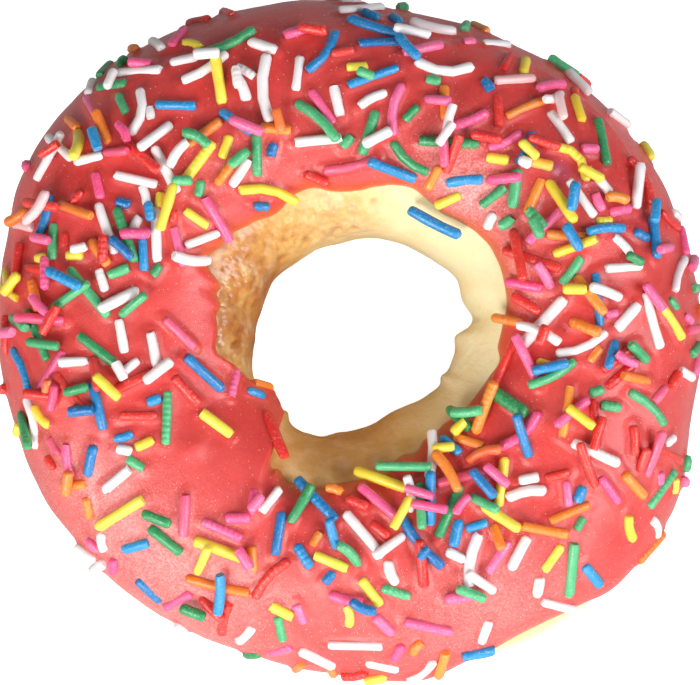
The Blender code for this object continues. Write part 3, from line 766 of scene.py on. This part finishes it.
def settle(spot, length, radius, laid, may_lean):
    """A rod's own spot where that is free, or how it leans on the rods it crosses, or None."""
    half = length / 2 - radius
    reach = np.array([s.radius for s in laid]) + radius
    if not laid or (rod_gaps(spot[0], spot[1], half, laid)[0] >= reach).all():
        return spot
    return lean_on(*spot, half, reach, laid) if may_lean else None


def marked_places():
    """Where the listed sprinkles lie on the icing."""
    x, y, heading = (np.array(column, dtype=float) for column in list(zip(*MARKED_SPRINKLES))[:3])
    turn = np.arctan2(y, x)
    hole, outer = ring_outline(turn)
    across = (np.hypot(x, y) * MM - (outer + hole) / 2) / ((outer - hole) / 2 + ICING_GAP + ICING_THICKNESS)
    roll = np.arccos(np.sign(across) * np.abs(across) ** (1 / FULLNESS))
    along, over, _ = ring_directions(turn, roll)
    aim = np.stack([np.cos(np.radians(heading)), np.sin(np.radians(heading)), np.zeros_like(x)], axis=-1)
    return rest_on_icing(turn, roll, np.arctan2(np.sum(aim * over, axis=-1), np.sum(aim * along, axis=-1)))


def scattered_places(rng):
    """Places on the icing where a rod that falls from above may lie, thick where the sprinkles lie thick."""
    turn = rng.uniform(-np.pi, np.pi, PLACES)
    outer, inner = icing_edges(turn)
    margin = math.radians(EDGE_MARGIN_DEG)
    roll = rng.uniform(outer + margin, inner - margin)
    probe = math.radians(PROBE_DEG)
    spot = ring_form(turn, roll)
    area = np.cross(ring_form(turn + probe, roll) - spot, ring_form(turn, roll + probe) - spot)[:, 2]
    chance = crowding(spot[:, 0], spot[:, 1]) * area / area.max() / MOST_CROWDED
    kept = rng.random(PLACES) < chance
    return rest_on_icing(turn[kept], roll[kept], rng.uniform(0, np.pi, kept.sum()))


def strew():
    """Lays the sprinkles one by one: those listed, then the rest from the longest to the shortest."""
    rng = np.random.default_rng(SPRINKLE_SEED)
    laid = []
    places = marked_places()
    for i, (_, _, _, length, bend, girth, tint) in enumerate(MARKED_SPRINKLES):
        length, radius = length * MM, girth * SPRINKLE_RADIUS
        spot = settle(lay_rod(places, i, length, radius, BURIED[0]), length, radius, laid, True)
        if spot:
            laid.append(Sprinkle(*spot, length, radius, bend * MM, tint))
    count = SPRINKLE_COUNT - len(laid)
    middles, spreads, shares = np.array(LENGTHS).T
    kind = rng.choice(len(LENGTHS), count, p=shares)
    lengths = np.sort(np.clip(rng.normal(middles[kind], spreads[kind]), SHORTEST, LONGEST))[::-1]
    places = scattered_places(rng)
    free = iter(range(len(places.place)))
    for length in lengths:
        radius = SPRINKLE_RADIUS * rng.uniform(*GIRTHS)
        bend = rng.uniform(-MOST_BEND, MOST_BEND) * length * (rng.random() < BENT_SHARE)
        tint = rng.choice(COLOURS, p=COLOUR_SHARES)
        may_pile = rng.random(TRIES) < PILED_SHARE
        buried = rng.uniform(*BURIED, TRIES)
        for may_lean, sunk, i in zip(may_pile, buried, free):
            may_lean = may_lean and places.out[i][2] > LEVEL_ENOUGH
            spot = settle(lay_rod(places, i, length, radius, sunk), length, radius, laid, may_lean)
            if spot:
                laid.append(Sprinkle(*spot, length, radius, bend, str(tint)))
                break
    return laid


def draw_up_icing(skin, laid):
    """Raises the wet icing in a small rim round each sprinkle."""
    mesh = skin.data
    places = np.empty(len(mesh.vertices) * 3, np.float32)
    mesh.vertices.foreach_get("co", places)
    places = places.reshape(-1, 3).astype(float)
    normals = np.empty(len(mesh.vertices) * 3, np.float32)
    mesh.vertex_normals.foreach_get("vector", normals)
    full = np.empty(len(mesh.vertices), np.float32)
    mesh.attributes["full"].data.foreach_get("value", full)
    rise = np.zeros(len(places))
    for rod in laid:
        half = rod.length / 2
        near = np.nonzero(np.linalg.norm(places - rod.centre, axis=1) < half + 3 * RIM_REACH + rod.radius)[0]
        apart = places[near] - rod.centre
        along = np.clip(apart @ rod.axis, -half, half)
        bow = rod.bend * (1 - (along / half) ** 2)
        across = apart - along[:, None] * rod.axis - bow[:, None] * np.cross(rod.axis, rod.up)
        gap = np.maximum(np.linalg.norm(across, axis=1) - rod.radius, 0)
        rise[near] = np.maximum(rise[near], RIM_HEIGHT * np.exp(-((gap / RIM_REACH) ** 2)))
    places += normals.reshape(-1, 3) * (rise * full)[:, None]
    mesh.vertices.foreach_set("co", places.astype(np.float32).ravel())
    mesh.update()


def sprinkle_tree():
    """Turns points into rods. Each lies along its axis, bends to its side, and has rough, rounded ends."""
    tree, given, out = new_tree("sprinkle_rods", (
        ("Rings", "Int", RINGS), ("Sides", "Int", SIDES), ("End Inset", "Float", 0.55),
        ("End Girth", "Float", 0.52), ("Shoulder Inset", "Float", 0.2), ("Shoulder Girth", "Float", 0.84),
        ("Uneven Girth", "Float", 0.14), ("Chipping", "Float", 0.3 * MM),
        ("Dents", "Float", 0.12 * MM), ("Dent Size", "Float", 1.2 * MM), ("Sugar", "Material", None),
    ))
    read_vector = {"data_type": "FLOAT_VECTOR"}
    centre, axis, side = (
        wire(tree, "GeometryNodeInputNamedAttribute", name, options=read_vector)
        for name in ("centre", "axis", "side")
    )
    length, girth, bend, snapped = (read_mask(tree, name) for name in ("length", "girth", "bend", "snapped"))
    line = wire(tree, "GeometryNodeCurvePrimitiveLine", (0, 0, 0), (0, 0, MM))
    line = wire(tree, "GeometryNodeResampleCurve", line, None, given["Rings"])
    rods = wire(tree, "GeometryNodeInstanceOnPoints", given["Geometry"], None, line)
    rods = wire(tree, "GeometryNodeRealizeInstances", rods)

    ring = wire(tree, "GeometryNodeSplineParameter").node.outputs["Index"]
    middle = reckon(tree, "MULTIPLY", reckon(tree, "SUBTRACT", given["Rings"], 1.0), 0.5)
    way = reckon(tree, "SUBTRACT", ring, middle)
    from_end = reckon(tree, "SUBTRACT", middle, reckon(tree, "ABSOLUTE", way))
    end = reckon(tree, "LESS_THAN", from_end, 0.5)
    from_shoulder = reckon(tree, "ABSOLUTE", reckon(tree, "SUBTRACT", from_end, 1.0))
    shoulder = reckon(tree, "LESS_THAN", from_shoulder, 0.5)
    inset = reckon(tree, "MULTIPLY", given["End Inset"], girth)
    straight = reckon(tree, "SUBTRACT", reckon(tree, "MULTIPLY", length, 0.5), inset)
    inner = reckon(tree, "SUBTRACT", middle, 2.0)
    within = reckon(tree, "MINIMUM", reckon(tree, "MAXIMUM", reckon(tree, "DIVIDE", way, inner), -1.0), 1.0)
    inset_share = reckon(tree, "DIVIDE", given["Shoulder Inset"], given["End Inset"])
    at_shoulder = reckon(tree, "MULTIPLY", shoulder, reckon(tree, "SUBTRACT", 1.0, inset_share))
    past = reckon(tree, "MULTIPLY", inset, reckon(tree, "ADD", end, at_shoulder))
    along = reckon(tree, "MULTIPLY", straight, within)
    along = reckon(tree, "ADD", along, reckon(tree, "MULTIPLY", past, reckon(tree, "SIGN", way)))
    share = reckon(tree, "DIVIDE", along, reckon(tree, "MULTIPLY", length, 0.5))
    bow = reckon(tree, "MULTIPLY", bend, reckon(tree, "SUBTRACT", 1.0, reckon(tree, "POWER", share, 2.0)))

    def scaled(vector, size):
        return wire(
            tree, "ShaderNodeVectorMath", vector, options={"operation": "SCALE"}, named={"Scale": size}
        )

    def added(*vectors):
        return wire(tree, "ShaderNodeVectorMath", *vectors, options={"operation": "ADD"})

    place = added(centre, added(scaled(axis, along), scaled(side, bow)))
    rods = wire(tree, "GeometryNodeSetPosition", rods, None, place)
    for name, value in (("along", along), ("end", end)):
        rods = wire(
            tree, "GeometryNodeStoreNamedAttribute", rods, None, name, value,
            options={"data_type": "FLOAT", "domain": "POINT"},
        )
    uneven = noise_between(tree, given["Dent Size"], -0.5, 0.5)
    thick = reckon(tree, "ADD", 1.0, reckon(tree, "MULTIPLY", uneven, given["Uneven Girth"]))
    cut_off = remap(tree, snapped, 0.3, 1.0, given["End Girth"], 0.9)
    narrowed = reckon(tree, "MULTIPLY", reckon(tree, "SUBTRACT", 1.0, cut_off), end)
    rounded = reckon(tree, "MULTIPLY", reckon(tree, "SUBTRACT", 1.0, given["Shoulder Girth"]), shoulder)
    kept_girth = reckon(tree, "SUBTRACT", 1.0, reckon(tree, "ADD", narrowed, rounded))
    thick = reckon(tree, "MULTIPLY", thick, kept_girth)
    circle = wire(tree, "GeometryNodeCurvePrimitiveCircle", given["Sides"], named={"Radius": 1.0})
    mesh = wire(
        tree, "GeometryNodeCurveToMesh", rods, circle, reckon(tree, "MULTIPLY", girth, thick), True
    )
    cloud = wire(tree, "ShaderNodeTexNoise", named={
        "Scale": reckon(tree, "DIVIDE", 1.0, given["Dent Size"]), "Detail": 1.0,
    })
    jolt = wire(
        tree, "ShaderNodeVectorMath", cloud.node.outputs["Color"], (0.5, 0.5, 0.5),
        options={"operation": "SUBTRACT"},
    )
    chip = noise_between(tree, given["Dent Size"], -0.5, 0.5, detail=1.0)
    chip = reckon(tree, "MULTIPLY", reckon(tree, "MULTIPLY", chip, given["Chipping"]), read_mask(tree, "end"))
    shift = added(scaled(jolt, given["Dents"]), scaled(axis, chip))
    moved = wire(tree, "GeometryNodeSetPosition", mesh, None, None, shift)
    smooth = wire(tree, "GeometryNodeSetShadeSmooth", moved, None, True)
    whole = wire(tree, "GeometryNodeRealizeInstances", smooth)
    tree.links.new(wire(tree, "GeometryNodeSetMaterial", whole, None, given["Sugar"]), out["Geometry"])
    return tree


# Each dye as it shows in the light and in its deeper batches
SUGAR = {
    "white": ((255, 250, 250), (254, 238, 240)), "pink": ((255, 116, 166), (252, 82, 140)),
    "red": ((238, 62, 52), (222, 40, 38)), "orange": ((255, 150, 52), (250, 128, 40)),
    "yellow": ((255, 236, 84), (254, 218, 56)), "green": ((92, 196, 136), (36, 146, 84)),
    "blue": ((34, 156, 218), (12, 110, 178)),
}


def sugar_finish(name, light, deep):
    """Dyed sugar paste: a polished skin, chalky in places, with the cross ridges of its string."""
    material, tree, _ = finish_of(
        name, Subsurface_Weight=0.4, Subsurface_Radius=(0.6, 0.45, 0.4), Subsurface_Scale=MM, IOR=1.48,
        Coat_Weight=0.45, Coat_Roughness=0.18,
    )
    tint, ridged, along, glazed = (mask_of(tree, name) for name in ("tint", "ridged", "along", "glazed"))
    batch = reckon(tree, "ADD", tint, remap(tree, grain(tree, 0.9 * MM, 2.0, 2.0), 0.0, 1.0, -0.15, 0.15))
    shade = blend(tree, remap(tree, batch, 0.0, 1.0), colour(*deep), colour(*light))
    chalk = remap(tree, grain(tree, 0.3 * MM, 2.0, 3.0), 0.7, 1.0, 0.0, 0.14)
    shade = blend(tree, chalk, shade, colour(255, 246, 240))
    shade = blend(tree, glazed, shade, colour(230, 82, 76))
    wave = reckon(tree, "SINE", reckon(tree, "MULTIPLY", along, 2 * math.pi / RIDGE_SPACING))
    wave = reckon(tree, "MULTIPLY", wave, ridged)
    rough = relief(tree, 0.02 * MM, grain(tree, 0.22 * MM, 2.0, 2.0))
    feed(tree, Base_Color=shade, Roughness=remap(tree, grain(tree, 0.6 * MM), 0.0, 1.0, 0.3, 0.5),
         Normal=relief(tree, 0.03 * MM, wave, rough), Coat_Normal=rough)
    return material


def rods_to_points(name, rods, looks):
    """An object with one vertex for each rod, which holds how the rod lies and how it looks."""
    mesh = bpy.data.meshes.new(name)
    mesh.from_pydata([tuple(rod.centre) for rod in rods], [], [])
    for label, vectors in (
        ("centre", [rod.centre for rod in rods]), ("axis", [rod.axis for rod in rods]),
        ("side", [np.cross(rod.axis, rod.up) for rod in rods]),
    ):
        held = mesh.attributes.new(label, "FLOAT_VECTOR", "POINT")
        held.data.foreach_set("vector", np.array(vectors, np.float32).ravel())
    for label, values in (
        ("length", [rod.length for rod in rods]), ("girth", [rod.radius for rod in rods]),
        ("bend", [rod.bend for rod in rods]), *looks.items(),
    ):
        keep_mask(mesh, label, np.array(values))
    points = bpy.data.objects.new(name, mesh)
    bpy.context.scene.collection.objects.link(points)
    return points


laid = strew()
draw_up_icing(icing, laid)
rod_tree = sprinkle_tree()
looks_rng = np.random.default_rng(LOOKS_SEED)
for dye, (light, deep) in SUGAR.items():
    rods = [rod for rod in laid if rod.colour == dye]
    count = len(rods)
    looks = {
        "tint": looks_rng.random(count) ** 0.8,
        "ridged": (looks_rng.random(count) < RIDGED[dye]) * looks_rng.uniform(*RIDGE_STRENGTHS, count),
        "glazed": (looks_rng.random(count) < GLAZED[dye]) * looks_rng.uniform(*GLAZE_STRENGTHS, count),
        "snapped": looks_rng.random(count),
    }
    sprinkles = rods_to_points("sprinkles_" + dye, rods, looks)
    run_tree(sprinkles, rod_tree, Sugar=sugar_finish(dye + "_sugar", light, deep))
    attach(sprinkles, "root")
    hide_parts("icing")

# The dried sugar
# Fine crystals of sugar that the icing threw up as it dried. They are grains about a tenth of a millimetre
# across, stuck to the icing, and thickest in the patches of painted highlight, where they add glints.


def grains_tree():
    """Scatters small crystals over the icing, thickest in the patches of painted highlight."""
    tree, given, out = new_tree("sugar_grains", (
        ("Grains Per Metre", "Float", 6e5), ("Grains In Painted Sheen", "Float", 7e6),
        ("Smallest", "Float", 0.03 * MM), ("Largest", "Float", 0.08 * MM), ("Seed", "Int", 5),
        ("Sugar", "Material", None),
    ))
    patches = noise_between(tree, 7 * MM, 0.0, 1.0, detail=2.0)
    all_over = reckon(tree, "MULTIPLY", patches, given["Grains Per Metre"])
    in_sheen = reckon(tree, "MULTIPLY", read_mask(tree, "painted_sheen"), given["Grains In Painted Sheen"])
    wanted = reckon(tree, "MULTIPLY", reckon(tree, "ADD", all_over, in_sheen), read_mask(tree, "full"))
    spots = wire(
        tree, "GeometryNodeDistributePointsOnFaces", given["Geometry"], None,
        named={"Density": wanted, "Seed": given["Seed"]},
    )
    crystal = wire(tree, "GeometryNodeMeshIcoSphere", 1.0, 1)
    size = wire(
        tree, "FunctionNodeRandomValue", given["Smallest"], given["Largest"], options={"data_type": "FLOAT"},
        named={"Seed": given["Seed"]},
    )
    grains = wire(
        tree, "GeometryNodeInstanceOnPoints", spots, None, crystal,
        named={"Rotation": spots.node.outputs["Rotation"], "Scale": size},
    )
    whole = wire(tree, "GeometryNodeRealizeInstances", grains)
    tree.links.new(wire(tree, "GeometryNodeSetMaterial", whole, None, given["Sugar"]), out["Geometry"])
    return tree


def crystal_finish():
    material, tree, _ = finish_of("sugar_crystal", IOR=1.54, Subsurface_Weight=0.1, Subsurface_Scale=MM)
    shade = blend(tree, grain(tree, 3 * MM), colour(255, 226, 220), colour(250, 176, 168))
    feed(tree, Base_Color=shade, Roughness=remap(tree, grain(tree, 0.5 * MM), 0.0, 1.0, 0.12, 0.4))
    return material


grains = bpy.data.objects.new("sugar_grains", icing.data.copy())
bpy.context.scene.collection.objects.link(grains)
run_tree(grains, grains_tree(), Sugar=crystal_finish())
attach(grains, "root")
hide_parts("icing")

# The stage
# A pale table under the doughnut, soft lights from the lower left, the front and the right, and a camera that
# looks almost straight down from far away.

FLOOR_SIZE = 4.0
TABLE_TONES = (176, 188)
TABLE_TONE_SIZE = 40 * MM
# Each light's azimuth, elevation, distance, width, power and tone, in degrees, metres and watts
LIGHTS = (
    ("key_light", 235, 46, 0.9, 0.45, 5.7, (255, 253, 250)),
    ("low_left_light", 220, 13, 1.0, 0.8, 3.3, (255, 253, 250)),
    ("low_front_light", 285, 14, 1.0, 0.9, 5.0, (255, 253, 250)),
    ("side_light", 342, 42, 1.1, 0.8, 10.0, (252, 252, 255)),
)
SKY_STRENGTH = 0.17
VIEW_ELEVATION_DEG = 87
VIEW_DISTANCE = 0.9
SENSOR_WIDTH = 36.0
AIM = (-0.02 * MM, 0.0, WAIST_HEIGHT)
FRAME_WIDTH = 90.0 * MM

bpy.ops.mesh.primitive_plane_add(size=FLOOR_SIZE)
floor = bpy.context.object
floor.name = floor.data.name = "table"
cloth, tree, _ = finish_of("pale_table", Roughness=0.6, IOR=1.4, Emission_Color=(1.0, 1.0, 1.0, 1.0))
tones = blend(tree, grain(tree, TABLE_TONE_SIZE, 2.0, 1.0), *(colour(v, v, v) for v in TABLE_TONES))
# Its glow reaches the camera alone, so that it looks white and lights nothing
feed(tree, Base_Color=tones, Emission_Strength=wire(tree, "ShaderNodeLightPath"))
floor.data.materials.append(cloth)

for name, azimuth, elevation, distance, size, power, tone in LIGHTS:
    lamp = bpy.data.lights.new(name, "AREA")
    lamp.shape = "DISK"
    lamp.size = size
    lamp.energy = power
    lamp.color = colour(*tone)[:3]
    holder = bpy.data.objects.new(name, lamp)
    bpy.context.scene.collection.objects.link(holder)
    turn, rise = math.radians(azimuth), math.radians(elevation)
    way = Vector((math.cos(turn) * math.cos(rise), math.sin(turn) * math.cos(rise), math.sin(rise)))
    holder.location = Vector(AIM) + way * distance
    holder.rotation_euler = way.to_track_quat("Z", "Y").to_euler()

world = bpy.data.worlds.new("soft_room")
world.use_nodes = True
sky = world.node_tree.nodes["Background"]
sky.inputs["Color"].default_value = (1.0, 1.0, 1.0, 1.0)
sky.inputs["Strength"].default_value = SKY_STRENGTH
bpy.context.scene.world = world

camera = bpy.data.cameras.new("camera")
camera.sensor_width = SENSOR_WIDTH
camera.lens = SENSOR_WIDTH * VIEW_DISTANCE / FRAME_WIDTH
camera.clip_start, camera.clip_end = 0.01, 10.0
viewer = bpy.data.objects.new("camera", camera)
bpy.context.scene.collection.objects.link(viewer)
tilt = math.radians(VIEW_ELEVATION_DEG)
back = Vector((0.0, -math.cos(tilt), math.sin(tilt)))
viewer.location = Vector(AIM) + back * VIEW_DISTANCE
viewer.rotation_euler = back.to_track_quat("Z", "Y").to_euler()
bpy.context.scene.camera = viewer
bpy.context.scene.view_settings.view_transform = "Standard"
